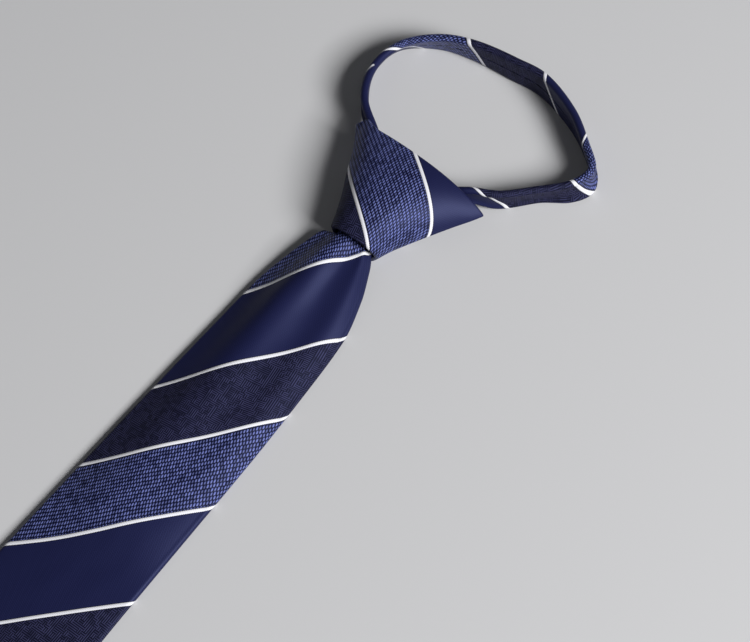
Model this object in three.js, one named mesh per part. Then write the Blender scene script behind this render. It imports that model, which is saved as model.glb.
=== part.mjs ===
// Zipper tie: a ready-tied necktie that lies face up, with its neck loop standing on its long edge.
//
// Millimetres. +Z is up and is the side that faces forward when the tie is worn. The tie's axis runs
// along Y: the loop is towards +Y and the blade's tip towards -Y. The origin is on the flat back of the
// knot, in the middle of its height. Every piece is a cloth wall: the blade and the neck loop are bands
// folded to an open seam, and the knot is a cuff that is open at its top and its bottom.

import * as THREE from "three";

// Overall sizes
const TIE_LENGTH = 480; // top of the knot to the tip of the blade
const BLADE_WIDTH = 70; // widest place, just above the pointed tip
const TIP_LENGTH = 36; // height of the pointed tip
const KNOT_HEIGHT = 42;
const KNOT_WIDTH = 64; // between the knot's two top corners
const KNOT_THICKNESS = 22;
const LOOP_WIDTH = 98.5; // the neck loop from side to side, at the middle of its cloth
const LOOP_DEPTH = 61; // the neck loop beyond the knot, at the middle of its cloth
const BAND_WIDTH = 14; // the folded band of the neck loop
const ZIP_LENGTH = 135; // closed zip below the knot
const ZIP_WIDTH = 13;

// Cloth walls, folds and clearances
const BLADE_CLOTH = 1.2; // face cloth with its interlining
const BLADE_FOLD_GAP = 0.6; // air between the face and the back flaps
const BLADE_SEAM_GAP = 1.6; // open centre back seam
const BLADE_CROWN = 3.4; // how far the face stands up below the knot
const PLEAT_DEPTH = 1.5; // lengthwise folds that fan out from the knot
const KNOT_CLOTH = 1.6;
const KNOT_SLANT = 0.05; // fall of the knot's top edge from its left to its right corner
const KNOT_LIP = 2; // how far the knot's front hangs over the blade
const BAND_CLOTH = 1.1;
const BAND_FOLD_GAP = 1;
const BAND_SEAM_GAP = 3; // open seam on the inner face of the neck loop
const BAND_DIP = 0.35; // hollow along the middle of the band's outer face
const ZIP_TAPE = 1.4; // thickness of the zip's tapes
const ZIP_THICKNESS = 2.4; // thickness over the closed teeth
const ZIP_TEETH_WIDTH = 5;
const ZIP_RUN_OUT = 30; // length over which the blade comes down to the surface past the zip
const CLEARANCE = 0.4; // between two pieces that touch

// Heights inside the knot, from the back forward: its cloth, then the zip or the ends of the neck loop,
// and then the gathered top of the blade.
const innerFloor = KNOT_CLOTH + CLEARANCE;
const bladeInMouth = innerFloor + ZIP_THICKNESS + CLEARANCE;
const bladeOverZip = ZIP_THICKNESS + CLEARANCE;
const knotTop = KNOT_HEIGHT / 2;
const knotMouth = -KNOT_HEIGHT / 2;
const bladeLength = TIE_LENGTH - KNOT_HEIGHT;

// Blade sections from its top inside the knot down to its tip.
// at: distance below the knot's mouth, as a share of the blade's length
// left, right: half widths, from 0 in the knot's mouth to 1 at BLADE_WIDTH
// lift: height of the side folds, as a share of the blade's height in the knot's mouth
// arch: height of the middle over the side folds, as a share of the height that clears the zip
// crown: height of the face, as a share of BLADE_CROWN; pleat: share of PLEAT_DEPTH
const bladeRows = [
  { at: -0.052, left: -0.03, right: -0.03, lift: 1.5, arch: 0.2, crown: 0.6, pleat: 0.3 },
  { at: -0.009, left: -0.01, right: -0.01, lift: 1.02, arch: 0.1, crown: 0.85, pleat: 0.4 },
  { at: 0.001, left: 0, right: 0, lift: 1, arch: 0.1, crown: 0.95, pleat: 0.5 },
  { at: 0.004, left: 0.17, right: 0.04, lift: 0.95, arch: 0.15, crown: 0.98, pleat: 0.6 },
  { at: 0.008, left: 0.23, right: 0.08, lift: 0.86, arch: 0.25, crown: 1, pleat: 0.75 },
  { at: 0.017, left: 0.28, right: 0.15, lift: 0.7, arch: 0.5, crown: 1, pleat: 0.95 },
  { at: 0.039, left: 0.385, right: 0.3, lift: 0.42, arch: 1, crown: 1, pleat: 1 },
  { at: 0.08, left: 0.508, right: 0.47, lift: 0.1, arch: 1.3, crown: 0.95, pleat: 0.9 },
  { at: 0.13, left: 0.552, right: 0.526, lift: 0, arch: 1.25, crown: 0.8, pleat: 0.65 },
  { at: 0.217, left: 0.605, right: 0.583, lift: 0, arch: 1.2, crown: 0.6, pleat: 0.35 },
  { at: 0.312, left: 0.65, right: 0.605, lift: 0, arch: 1.2, crown: 0.45, pleat: 0.15 },
  { at: 0.4, left: 0.69, right: 0.625, lift: 0, arch: 1.2, crown: 0.35, pleat: 0 },
  { at: 0.6, left: 0.8, right: 0.775, lift: 0, arch: 1.2, crown: 0.25, pleat: 0 },
  { at: 0.918, left: 1, right: 1, lift: 0, arch: 1.2, crown: 0.12, pleat: 0 },
  { at: 1, left: 1, right: 1, lift: 0, arch: 1.2, crown: 0, pleat: 0 },
];

// Knot sections from its mouth up to its top edge.
// up: share of KNOT_HEIGHT; left, right: shares of KNOT_WIDTH from the tie's axis
// side: height of the side folds, front: height of the crown, both as shares of KNOT_THICKNESS
// round, fold: exponents of the front's curve on the left and on the right, low where it is full
const knotRows = [
  { up: 0, left: 0.175, right: 0.172, side: 0.31, front: 0.72, round: 0.42, fold: 0.5 },
  { up: 0.14, left: 0.206, right: 0.213, side: 0.34, front: 0.84, round: 0.44, fold: 0.56 },
  { up: 0.32, left: 0.254, right: 0.278, side: 0.37, front: 0.95, round: 0.46, fold: 0.64 },
  { up: 0.52, left: 0.32, right: 0.352, side: 0.4, front: 1, round: 0.48, fold: 0.7 },
  { up: 0.72, left: 0.378, right: 0.425, side: 0.42, front: 0.99, round: 0.48, fold: 0.74 },
  { up: 0.88, left: 0.434, right: 0.484, side: 0.43, front: 0.95, round: 0.46, fold: 0.76 },
  { up: 1, left: 0.477, right: 0.52, side: 0.43, front: 0.9, round: 0.44, fold: 0.78 },
];

// Both ends of the neck loop inside the knot, from the end outward. The right end mirrors the left one.
// across: share of half KNOT_WIDTH; up: share of half KNOT_HEIGHT
// lean: degrees from upright, with the upper edge towards the loop's inside
// width: share of BAND_WIDTH; lift: height of the lower edge, as a share of the height inside the knot
const endRows = [
  { across: 0.2, up: -0.14, lean: -90, width: 0.62, lift: 1 },
  { across: 0.28, up: 0.34, lean: -85, width: 0.62, lift: 1.05 },
  { across: 0.48, up: 0.72, lean: -55, width: 0.62, lift: 1.6 },
  { across: 0.7, up: 1.03, lean: -10, width: 0.66, lift: 2.1 },
];

// The neck loop outside the knot, from its left corner round to its right corner.
// across: share of LOOP_WIDTH from the tie's axis; beyond: share of LOOP_DEPTH past the knot's top
// lean, width and lift: as above
const loopRows = [
  { across: -0.351, beyond: 0.17, lean: -4, width: 0.93, lift: 0.5 },
  { across: -0.434, beyond: 0.425, lean: -17, width: 1, lift: 0 },
  { across: -0.418, beyond: 0.683, lean: -28, width: 1, lift: 0 },
  { across: -0.298, beyond: 0.866, lean: -18, width: 1, lift: 0 },
  { across: -0.162, beyond: 0.947, lean: -7, width: 1, lift: 0 },
  { across: 0.023, beyond: 0.985, lean: 1, width: 1, lift: 0 },
  { across: 0.156, beyond: 0.998, lean: 2, width: 1, lift: 0 },
  { across: 0.349, beyond: 0.893, lean: -4, width: 1, lift: 0 },
  { across: 0.476, beyond: 0.758, lean: -11, width: 0.97, lift: 0 },
  { across: 0.556, beyond: 0.638, lean: -8, width: 0.94, lift: 0 },
  { across: 0.566, beyond: 0.565, lean: -12, width: 0.92, lift: 0 },
  { across: 0.536, beyond: 0.452, lean: -4, width: 0.94, lift: 0 },
  { across: 0.441, beyond: 0.307, lean: 10, width: 0.94, lift: 0 },
  { across: 0.333, beyond: 0.12, lean: 4, width: 0.85, lift: 0.5 },
];

// Zip sections from its top, just below the ends of the neck loop, down to its end.
// at: share of ZIP_LENGTH below the knot's mouth; lift: share of the height inside the knot
// width: share of ZIP_WIDTH
const zipTop = (knotMouth - endRows[0].up * knotTop + CLEARANCE) / ZIP_LENGTH;
const zipRows = [
  { at: zipTop, lift: 1, width: 0.8 },
  { at: 0, lift: 1, width: 0.8 },
  { at: 0.05, lift: 0.72, width: 0.96 },
  { at: 0.13, lift: 0.12, width: 1 },
  { at: 0.2, lift: 0, width: 1 },
  { at: 0.96, lift: 0, width: 1 },
  { at: 0.985, lift: 0, width: 0.94 },
  { at: 1, lift: 0, width: 0.7 },
];

// How finely the curves are divided
const BLADE_STATIONS = [
  -0.052, -0.03, -0.009, 0.001, 0.004, 0.008, 0.017, 0.027, 0.039, 0.057, 0.08, 0.104, 0.13, 0.17, 0.217,
  0.26, 0.312, 0.335, 0.36, 0.4, 0.5, 0.65, 0.8,
];
const TIP_STATIONS = 4;
const BLADE_STEPS = { flap: 3, fold: 4, face: 14 };
const BAND_STATIONS = 76;
const BAND_STEPS = { flap: 1, fold: 3, face: 4 };
const KNOT_RINGS = [0.02, 0.08, 0.16, 0.28, 0.4, 0.54, 0.68, 0.82, 0.93, 0.98];
const KNOT_STEPS = 22; // from one side fold to the other
const KNOT_BACK_FLAT = { left: 0.78, right: 0.6 }; // share of each half of the knot's back that is flat
const KNOT_BACK_CURL = 1.4; // exponent of the back's rise to its side folds
const ZIP_STATIONS = [zipTop, 0, 0.025, 0.05, 0.075, 0.1, 0.13, 0.16, 0.2, 0.96, 0.985, 1];

// A column of a table at any place between its rows, on a smooth curve that doesn't overshoot.
function columnAt(rows, key, column, place) {
  const last = rows.length - 1;
  const inRange = Math.min(Math.max(place, rows[0][key]), rows[last][key]);
  let i = 0;
  while (i < last - 1 && inRange > rows[i + 1][key]) {
    i += 1;
  }
  const slope = (k) => (rows[k + 1][column] - rows[k][column]) / (rows[k + 1][key] - rows[k][key]);
  const tangent = (k) => {
    if (k === 0 || k === last) {
      return slope(k === 0 ? 0 : last - 1);
    }
    const before = slope(k - 1);
    const after = slope(k);
    return before * after <= 0 ? 0 : (2 * before * after) / (before + after);
  };
  const span = rows[i + 1][key] - rows[i][key];
  const t = (inRange - rows[i][key]) / span;
  const ease = t * t * (3 - 2 * t);
  const straight = rows[i][column] * (1 - ease) + rows[i + 1][column] * ease;
  const bend = t * (1 - t) * (1 - t) * tangent(i) - t * t * (1 - t) * tangent(i + 1);
  return straight + span * bend;
}

// A closed mesh from corner points and triangles, with its faces turned to point out.
function closedMesh(name, points, triangles, material) {
  let volume = 0;
  for (const [a, b, c] of triangles) {
    volume += points[a].dot(new THREE.Vector3().crossVectors(points[b], points[c]));
  }
  const outward = volume > 0 ? triangles : triangles.map(([a, b, c]) => [a, c, b]);
  const geometry = new THREE.BufferGeometry().setFromPoints(points);
  geometry.setIndex(outward.flat());
  geometry.computeVertexNormals();
  const mesh = new THREE.Mesh(geometry, material);
  mesh.name = name;
  return mesh;
}

// The two triangles of a four-sided face.
function quad(a, b, c, d) {
  return [[a, b, c], [a, c, d]];
}

// A wall swept through stations. Each station has an outer and an inner row of as many points, and the
// two rows are joined along their ends and across the first and the last station.
function sweepWall(name, stations, material) {
  const across = stations[0].outer.length;
  const points = stations.flatMap((station) => [...station.outer, ...station.inner]);
  const outer = (s, j) => s * 2 * across + j;
  const inner = (s, j) => s * 2 * across + across + j;
  const triangles = [];
  const end = across - 1;
  const tail = stations.length - 1;
  for (let s = 0; s < tail; s += 1) {
    for (let j = 0; j < end; j += 1) {
      triangles.push(...quad(outer(s, j), outer(s, j + 1), outer(s + 1, j + 1), outer(s + 1, j)));
      triangles.push(...quad(inner(s, j), inner(s + 1, j), inner(s + 1, j + 1), inner(s, j + 1)));
    }
    triangles.push(...quad(outer(s, 0), outer(s + 1, 0), inner(s + 1, 0), inner(s, 0)));
    triangles.push(...quad(outer(s, end), inner(s, end), inner(s + 1, end), outer(s + 1, end)));
  }
  for (let j = 0; j < end; j += 1) {
    triangles.push(...quad(outer(0, j), inner(0, j), inner(0, j + 1), outer(0, j + 1)));
    triangles.push(...quad(outer(tail, j), outer(tail, j + 1), inner(tail, j + 1), inner(tail, j)));
  }
  return closedMesh(name, points, triangles, material);
}

// A wall made of closed rings, the last of which joins the first, like the skin of a cuff.
function sweepRings(name, rings, material) {
  const around = rings[0].length;
  const triangles = [];
  rings.forEach((ring, r) => {
    const next = (r + 1) % rings.length;
    for (let j = 0; j < around; j += 1) {
      const k = (j + 1) % around;
      triangles.push(...quad(r * around + j, r * around + k, next * around + k, next * around + j));
    }
  });
  return closedMesh(name, rings.flat(), triangles, material);
}

// Cross-section of a band folded to an open seam, as an outer and an inner row of [across, height].
// Its back flaps lie at the height that base gives and its face stands higher by what face gives.
// Both are told the place: 0 in the middle, -1 and 1 where the left and the right side fold begin.
function foldedBand({ left, right, cloth, gap, seam, base, face, steps }) {
  const radius = cloth + gap / 2;
  const leftFold = radius - left;
  const rightFold = right - radius;
  const place = (x) => (x < 0 ? -x / leftFold : x / rightFold);
  const outer = [];
  const inner = [];
  const addFlap = (foldX, side, k) => {
    const lip = side * Math.min(seam / 2, Math.abs(foldX) / 2);
    const x = lip + (foldX - lip) * (k / steps.flap);
    outer.push([x, base(place(x))]);
    inner.push([x, base(place(x)) + cloth]);
  };
  const addFold = (foldX, side, k) => {
    const turn = (Math.PI * k) / steps.fold;
    const reach = side * Math.sin(turn);
    const rise = -Math.cos(turn);
    const middle = base(side) + radius;
    outer.push([foldX + reach * radius, middle + rise * radius]);
    inner.push([foldX + reach * (radius - cloth), middle + rise * (radius - cloth)]);
  };
  const addFace = (k) => {
    const x = leftFold + (rightFold - leftFold) * (k / steps.face);
    const top = base(place(x)) + 2 * radius + face(place(x));
    outer.push([x, top]);
    inner.push([x, top - cloth]);
  };
  for (let k = 0; k <= steps.flap; k += 1) {
    addFlap(leftFold, -1, k);
  }
  for (let k = 1; k < steps.fold; k += 1) {
    addFold(leftFold, -1, k);
  }
  for (let k = 0; k <= steps.face; k += 1) {
    addFace(k);
  }
  for (let k = steps.fold - 1; k > 0; k -= 1) {
    addFold(rightFold, 1, k);
  }
  for (let k = steps.flap; k >= 0; k -= 1) {
    addFlap(rightFold, 1, k);
  }
  return { outer, inner };
}

// The wide blade: gathered in the knot's mouth, fanning out over the zip, then flat to its pointed tip.
function makeFrontBlade(material) {
  const mouthHalf = KNOT_WIDTH * knotRows[0].left - 1.5 * KNOT_CLOTH - CLEARANCE;
  const bluntTip = 1.3 * (BLADE_CLOTH + BLADE_FOLD_GAP / 2);
  const widest = BLADE_WIDTH / 2;
  const section = (at, half) => {
    const row = (column) => columnAt(bladeRows, "at", column, at);
    const pastZip = Math.min(Math.max((at * bladeLength - ZIP_LENGTH) / ZIP_RUN_OUT, 0), 1);
    const overZip = 1 - pastZip * pastZip * (3 - 2 * pastZip);
    const lift = row("lift") * bladeInMouth;
    const arch = row("arch") * bladeOverZip * overZip;
    const crown = row("crown") * BLADE_CROWN;
    const pleat = row("pleat") * PLEAT_DEPTH;
    const { outer, inner } = foldedBand({
      left: half.left,
      right: half.right,
      cloth: BLADE_CLOTH,
      gap: BLADE_FOLD_GAP,
      seam: BLADE_SEAM_GAP,
      base: (u) => lift + arch * (1 - u * u),
      face: (u) => (1 - u * u) * (crown + pleat * Math.cos(Math.PI * (1.45 * u + 0.5))),
      steps: BLADE_STEPS,
    });
    const toPoint = ([x, z]) => new THREE.Vector3(x, knotMouth - at * bladeLength, z);
    return { outer: outer.map(toPoint), inner: inner.map(toPoint) };
  };
  const halfWidth = (at, side) => {
    return mouthHalf + columnAt(bladeRows, "at", side, at) * (widest - mouthHalf);
  };
  const stations = BLADE_STATIONS.map((at) => {
    return section(at, { left: halfWidth(at, "left"), right: halfWidth(at, "right") });
  });
  for (let k = 0; k <= TIP_STATIONS; k += 1) {
    const half = widest + (bluntTip - widest) * (k / TIP_STATIONS);
    const toTip = (TIP_LENGTH * half) / widest;
    stations.push(section(1 - toTip / bladeLength, { left: half, right: half }));
  }
  return sweepWall("front_blade", stations, material);
}

// One closed ring of the knot's skin. The inset is 0 on its outside and KNOT_CLOTH on its inside.
function knotRing(up, inset) {
  const row = (column) => columnAt(knotRows, "up", column, up);
  const left = -row("left") * KNOT_WIDTH + 1.25 * inset;
  const right = row("right") * KNOT_WIDTH - 1.25 * inset;
  const side = row("side") * KNOT_THICKNESS;
  const front = row("front") * KNOT_THICKNESS - inset;
  const middle = (left + right) / 2;
  const half = (right - left) / 2;
  const lip = KNOT_LIP * (1 - up) ** 3;
  const point = (u, isFront) => {
    const size = Math.abs(u);
    const flat = u < 0 ? KNOT_BACK_FLAT.left : KNOT_BACK_FLAT.right;
    const curl = Math.max(size - flat, 0) / (1 - flat);
    const exponent = u < 0 ? row("round") : row("fold");
    const swell = isFront ? (1 - size ** 2.2) ** exponent : 1 - curl ** KNOT_BACK_CURL;
    const z = isFront ? side + (front - side) * swell : side - (side - inset) * swell;
    const x = middle + half * u;
    const fall = KNOT_SLANT * up * (x - left) + (isFront ? lip * swell : 0);
    return new THREE.Vector3(x, knotMouth + KNOT_HEIGHT * up - fall, z);
  };
  const ring = [];
  for (let k = 0; k < KNOT_STEPS; k += 1) {
    ring.push(point(Math.cos((Math.PI * k) / KNOT_STEPS), true));
  }
  for (let k = 0; k < KNOT_STEPS; k += 1) {
    ring.push(point(-Math.cos((Math.PI * k) / KNOT_STEPS), false));
  }
  return ring;
}

// The knot: a flattened cuff of cloth with rolled edges at its top and at its mouth.
function makeKnotWrap(material) {
  const outside = KNOT_RINGS.map((up) => knotRing(up, 0));
  const inside = KNOT_RINGS.map((up) => knotRing(up, KNOT_CLOTH)).reverse();
  const topRoll = knotRing(1, KNOT_CLOTH / 2);
  const mouthRoll = knotRing(0, KNOT_CLOTH / 2);
  return sweepRings("knot_wrap", [...outside, topRoll, ...inside, mouthRoll], material);
}

// The middle line of the neck loop with its lean, width and lift, from its left end to its right one.
function neckLoopRows() {
  const sized = (row, x, y) => ({
    x,
    y,
    lean: row.lean,
    width: row.width * BAND_WIDTH,
    lift: row.lift * innerFloor,
  });
  const inKnot = (side) => {
    return endRows.map((row) => sized(row, (side * row.across * KNOT_WIDTH) / 2, row.up * knotTop));
  };
  const outside = loopRows.map((row) => {
    return sized(row, row.across * LOOP_WIDTH, knotTop + row.beyond * LOOP_DEPTH);
  });
  const rows = [...inKnot(-1), ...outside, ...inKnot(1).reverse()];
  return rows.map((row, index) => ({ ...row, index }));
}

// The neck loop: a folded band that stands on its edge and turns to lie flat inside the knot.
function makeNeckLoop(material) {
  const rows = neckLoopRows();
  const middleLine = rows.map((row) => new THREE.Vector3(row.x, row.y, 0));
  const path = new THREE.CatmullRomCurve3(middleLine, false, "centripetal");
  const thickness = 2 * BAND_CLOTH + BAND_FOLD_GAP;
  const stations = [];
  for (let k = 0; k <= BAND_STATIONS; k += 1) {
    const t = path.getUtoTmapping(k / BAND_STATIONS);
    const row = (column) => columnAt(rows, "index", column, t * (rows.length - 1));
    const along = path.getTangent(t);
    const inward = new THREE.Vector3(along.y, -along.x, 0);
    const lean = THREE.MathUtils.degToRad(row("lean"));
    const across = new THREE.Vector3(0, 0, Math.cos(lean)).addScaledVector(inward, -Math.sin(lean));
    const towardsFace = new THREE.Vector3(0, 0, -Math.sin(lean)).addScaledVector(inward, -Math.cos(lean));
    const section = foldedBand({
      left: row("width") / 2,
      right: row("width") / 2,
      cloth: BAND_CLOTH,
      gap: BAND_FOLD_GAP,
      seam: BAND_SEAM_GAP,
      base: () => 0,
      face: (u) => -BAND_DIP * (1 - u * u),
      steps: BAND_STEPS,
    });
    const toPoint = ([x, z]) => {
      return path.getPoint(t).addScaledVector(across, x).addScaledVector(towardsFace, z - thickness / 2);
    };
    const outer = section.outer.map(toPoint);
    const inner = section.inner.map(toPoint);
    const lowest = Math.min(...outer.map((point) => point.z));
    [...outer, ...inner].forEach((point) => {
      point.z += row("lift") - lowest;
    });
    stations.push({ outer, inner });
  }
  return sweepWall("neck_loop", stations, material);
}

// The closed zip: two tapes and the teeth between them, from inside the knot down behind the blade.
function makeZipTail(material) {
  const stations = ZIP_STATIONS.map((at) => {
    const half = (columnAt(zipRows, "at", "width", at) * ZIP_WIDTH) / 2;
    const floor = columnAt(zipRows, "at", "lift", at) * innerFloor;
    const y = knotMouth - at * ZIP_LENGTH;
    const teeth = ZIP_TEETH_WIDTH / 2;
    const profile = [
      [-half, ZIP_TAPE],
      [-teeth, ZIP_TAPE],
      [-0.8 * teeth, ZIP_THICKNESS],
      [0.8 * teeth, ZIP_THICKNESS],
      [teeth, ZIP_TAPE],
      [half, ZIP_TAPE],
    ];
    return {
      outer: profile.map(([x, z]) => new THREE.Vector3(x, y, floor + z)),
      inner: profile.map(([x]) => new THREE.Vector3(x, y, floor)),
    };
  });
  return sweepWall("zip_tail", stations, material);
}

const stripedCloth = new THREE.MeshStandardMaterial({ color: 0x2b2e5c, roughness: 0.55, metalness: 0 });
const zipCloth = new THREE.MeshStandardMaterial({ color: 0x14162e, roughness: 0.6, metalness: 0 });

const tie = new THREE.Group();
tie.add(makeFrontBlade(stripedCloth));
tie.add(makeKnotWrap(stripedCloth));
tie.add(makeNeckLoop(stripedCloth));
tie.add(makeZipTail(zipCloth));

export default tie;
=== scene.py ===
# %% [markdown]
# # A zipper tie with woven stripes
# This tie is tied once in the workshop and never undone. Its neck loop is a narrow folded band that goes
# into a hollow knot, and a closed zip behind the blade lets the loop open. The measured model gives every
# solid its size and place, and this lesson dresses each of them in cloth.

# %% Frame
import math

import bpy
import numpy as np
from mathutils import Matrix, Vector, noise


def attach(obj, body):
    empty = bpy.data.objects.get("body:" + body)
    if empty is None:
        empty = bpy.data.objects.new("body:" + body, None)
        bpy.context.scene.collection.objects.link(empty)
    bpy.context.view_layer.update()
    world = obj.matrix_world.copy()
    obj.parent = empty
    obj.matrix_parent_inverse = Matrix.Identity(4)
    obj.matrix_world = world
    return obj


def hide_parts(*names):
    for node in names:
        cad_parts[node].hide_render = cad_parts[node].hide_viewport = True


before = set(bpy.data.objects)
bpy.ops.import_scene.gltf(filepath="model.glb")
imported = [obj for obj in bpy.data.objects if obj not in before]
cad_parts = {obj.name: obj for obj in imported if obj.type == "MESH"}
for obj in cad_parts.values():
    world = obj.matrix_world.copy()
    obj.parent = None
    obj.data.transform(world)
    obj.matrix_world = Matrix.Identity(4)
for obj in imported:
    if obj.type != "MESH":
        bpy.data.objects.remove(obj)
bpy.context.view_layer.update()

MM = 0.001

# %% [markdown]
# ## Camera
# The tie lies on a surface and is seen from above its right side. A long lens from a metre away keeps the
# long blade and the small loop in the same scale. The camera comes first, so that each piece can be looked
# at as soon as it is there.

# %% Camera
CAMERA_PLACE = (0.3071, -0.4154, 0.8657)
CAMERA_TURN = (28.5, 0, 37)
CAMERA_LENS = 124.8

camera_data = bpy.data.cameras.new("camera")
camera_data.lens = CAMERA_LENS
camera_data.sensor_width = 36
camera = bpy.data.objects.new("camera", camera_data)
camera.location = CAMERA_PLACE
camera.rotation_euler = [math.radians(a) for a in CAMERA_TURN]
bpy.context.scene.collection.objects.link(camera)
bpy.context.scene.camera = camera

# %% [markdown]
# ## Tables and smooth curves
# Cloth changes its shape slowly along its length. A short table of sections, with a smooth curve between
# its rows, gives such a shape with few numbers. The curve below never overshoots a row, so a cloth edge
# stays where it was measured.

# %% Tables
def table(names, *rows):
    """A table of named columns. The first one is the place, in rising order."""
    columns = np.array(rows, float).T
    return dict(zip(names.split(), columns))


def smooth(rows, name, place):
    """A column of a table at any place, on a curve that doesn't overshoot its rows."""
    key = next(iter(rows.values()))
    value = rows[name]
    span = np.diff(key)
    slope = np.diff(value) / span
    tangent = np.zeros(len(value))
    tangent[0] = slope[0]
    tangent[-1] = slope[-1]
    before = slope[:-1]
    after = slope[1:]
    rising = before * after > 0
    tangent[1:-1][rising] = 2 * before[rising] * after[rising] / (before[rising] + after[rising])
    x = np.clip(place, key[0], key[-1])
    i = np.clip(np.searchsorted(key, x, side="right") - 1, 0, len(key) - 2)
    t = (x - key[i]) / span[i]
    ease = t * t * (3 - 2 * t)
    bend = t * (1 - t) ** 2 * tangent[i] - t * t * (1 - t) * tangent[i + 1]
    return value[i] * (1 - ease) + value[i + 1] * ease + span[i] * bend


def wave(x, y, seed, size):
    """Slow random waves from -1 to 1, the same on every run."""
    return noise.noise(Vector((x / size, y / size, seed)))


# %% [markdown]
# ## A skin of cloth
# Each piece is a closed skin with a real thickness: a ring of points round the folded cloth at every
# station along it, with faces between neighbouring rings. The UV map holds millimetres of cloth: U runs
# across the woven stripes and V along them. So every thread of the weave keeps its size on every piece.

# %% Skin
def skin(name, rings, cloth_uv, material, joined=False):
    """A closed mesh from rings of points, rows x columns x 3, in millimetres.

    cloth_uv has one column more than the rings, so that the map can run on across the last face. With
    joined, the last ring meets the first, and otherwise the first and the last ring are capped.
    """
    rows, columns = rings.shape[:2]
    faces = []
    corners = []
    for r in range(rows if joined else rows - 1):
        below = (r + 1) % rows
        for c in range(columns):
            beside = (c + 1) % columns
            upper = r * columns
            lower = below * columns
            faces.append((upper + c, upper + beside, lower + beside, lower + c))
            corners.append(((r, c), (r, c + 1), (below, c + 1), (below, c)))
    if not joined:
        for r in (0, rows - 1):
            for c in range(columns // 2 - 1):
                across = [c, c + 1, columns - 2 - c, columns - 1 - c]
                if r == 0:
                    across.reverse()
                faces.append(tuple(r * columns + k for k in across))
                corners.append(tuple((r, k) for k in across))
    mesh = bpy.data.meshes.new(name)
    mesh.from_pydata((rings.reshape(-1, 3) * MM).tolist(), [], faces)
    where = np.array(corners).reshape(-1, 2)
    uv_map = mesh.uv_layers.new(name="cloth")
    uv_map.data.foreach_set("uv", cloth_uv[where[:, 0], where[:, 1]].ravel())
    mesh.materials.append(material)
    turn_outward(mesh)
    mesh.shade_smooth()
    mesh.set_sharp_from_angle(angle=math.radians(55))
    piece = bpy.data.objects.new(name, mesh)
    bpy.context.scene.collection.objects.link(piece)
    print(name, len(mesh.vertices), "points,", 2 * len(faces), "triangles")
    return piece


def turn_outward(mesh):
    """Turn the faces of a closed mesh round if they point into it."""
    points = np.empty(3 * len(mesh.vertices))
    mesh.vertices.foreach_get("co", points)
    points = points.reshape(-1, 3)
    mesh.calc_loop_triangles()
    corners = np.empty(3 * len(mesh.loop_triangles), int)
    mesh.loop_triangles.foreach_get("vertices", corners)
    a, b, c = points[corners.reshape(-1, 3)].transpose(1, 0, 2)
    if np.einsum("ij,ij->", a, np.cross(b, c)) < 0:
        mesh.flip_normals()


# %% [markdown]
# ## Drawing the weave
# The cloth is a jacquard: one loom weaves three textures and the white lines between them. Nothing is
# printed, so a picture of it would be wrong as soon as the light moves. Instead a material works out from
# the cloth's own millimetres which thread lies on top, and gives its colour and its height. The small
# class below only makes such sums short to write.

# %% Sums in a material
class Sums:
    """Short words for the Math nodes of one material."""

    def __init__(self, tree):
        self.tree = tree

    def math(self, operation, *values, clamp=False):
        node = self.tree.nodes.new("ShaderNodeMath")
        node.operation = operation
        node.use_clamp = clamp
        for socket, value in zip(node.inputs, values):
            if isinstance(value, (int, float)):
                socket.default_value = value
            else:
                self.tree.links.new(value, socket)
        return node.outputs[0]

    def add(self, a, b):
        return self.math("ADD", a, b)

    def minus(self, a, b):
        return self.math("SUBTRACT", a, b)

    def times(self, a, b):
        return self.math("MULTIPLY", a, b)

    def within(self, value, pitch):
        """How far the value is through its step of that pitch, from 0 to 1."""
        return self.math("FRACT", self.times(value, 1 / pitch))

    def step(self, value, pitch):
        return self.math("FLOOR", self.times(value, 1 / pitch))

    def off_middle(self, part):
        """-1 to 1 from a part of 0 to 1."""
        return self.add(self.times(part, 2), -1)

    def hill(self, value, half):
        """1 where the value is 0, down a round hill to 0 at plus or minus half."""
        share = self.times(value, 1 / half)
        return self.math("SUBTRACT", 1, self.times(share, share), clamp=True)

    def ramp(self, value, low, high):
        """0 below low, 1 above high, smooth between them."""
        node = self.tree.nodes.new("ShaderNodeMapRange")
        node.interpolation_type = "SMOOTHSTEP"
        self.tree.links.new(value, node.inputs["Value"])
        node.inputs["From Min"].default_value = low
        node.inputs["From Max"].default_value = high
        return node.outputs["Result"]

    def blend(self, share, a, b):
        """Between two numbers."""
        node = self.tree.nodes.new("ShaderNodeMix")
        self._fill(node.inputs[0], share)
        self._fill(node.inputs[2], a)
        self._fill(node.inputs[3], b)
        return node.outputs[0]

    def tint(self, share, a, b):
        """Between two colours."""
        node = self.tree.nodes.new("ShaderNodeMix")
        node.data_type = "RGBA"
        self._fill(node.inputs[0], share)
        self._fill(node.inputs[6], a)
        self._fill(node.inputs[7], b)
        return node.outputs[2]

    def _fill(self, socket, value):
        if isinstance(value, bpy.types.NodeSocket):
            self.tree.links.new(value, socket)
        elif isinstance(value, tuple):
            socket.default_value = (*value, 1)
        else:
            socket.default_value = value


# %% [markdown]
# ## The striped cloth
# The stripes repeat every 85.5 mm of cloth: a smooth satin stripe, a dull stripe of short crossing strokes
# like a maze, and a coarse basket stripe with rows of bright threads, whose bright blue is partly their own
# colour and partly painted sheen of their shiny floats. A thin white cord lies between each two of them.
# All sizes below are millimetres on the cloth.

# %% Sizes and colours of the stripes
REPEAT = 85.5
SATIN_WIDTH = 30.5
MAZE_WIDTH = 27.0
BASKET_WIDTH = REPEAT - SATIN_WIDTH - MAZE_WIDTH
WHITE_HALF = 0.58
WHITE_RIM = 0.5
WHITE_PITCH = 0.62
WHITE_TEETH = 0.07
WHITE_BLUR = 0.12
BASKET_ROW = 1.5
BASKET_THREAD = 1.1
MAZE_CELL = 1.7
MAZE_PITCH = 0.8
SATIN_THREAD = 0.42

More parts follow.
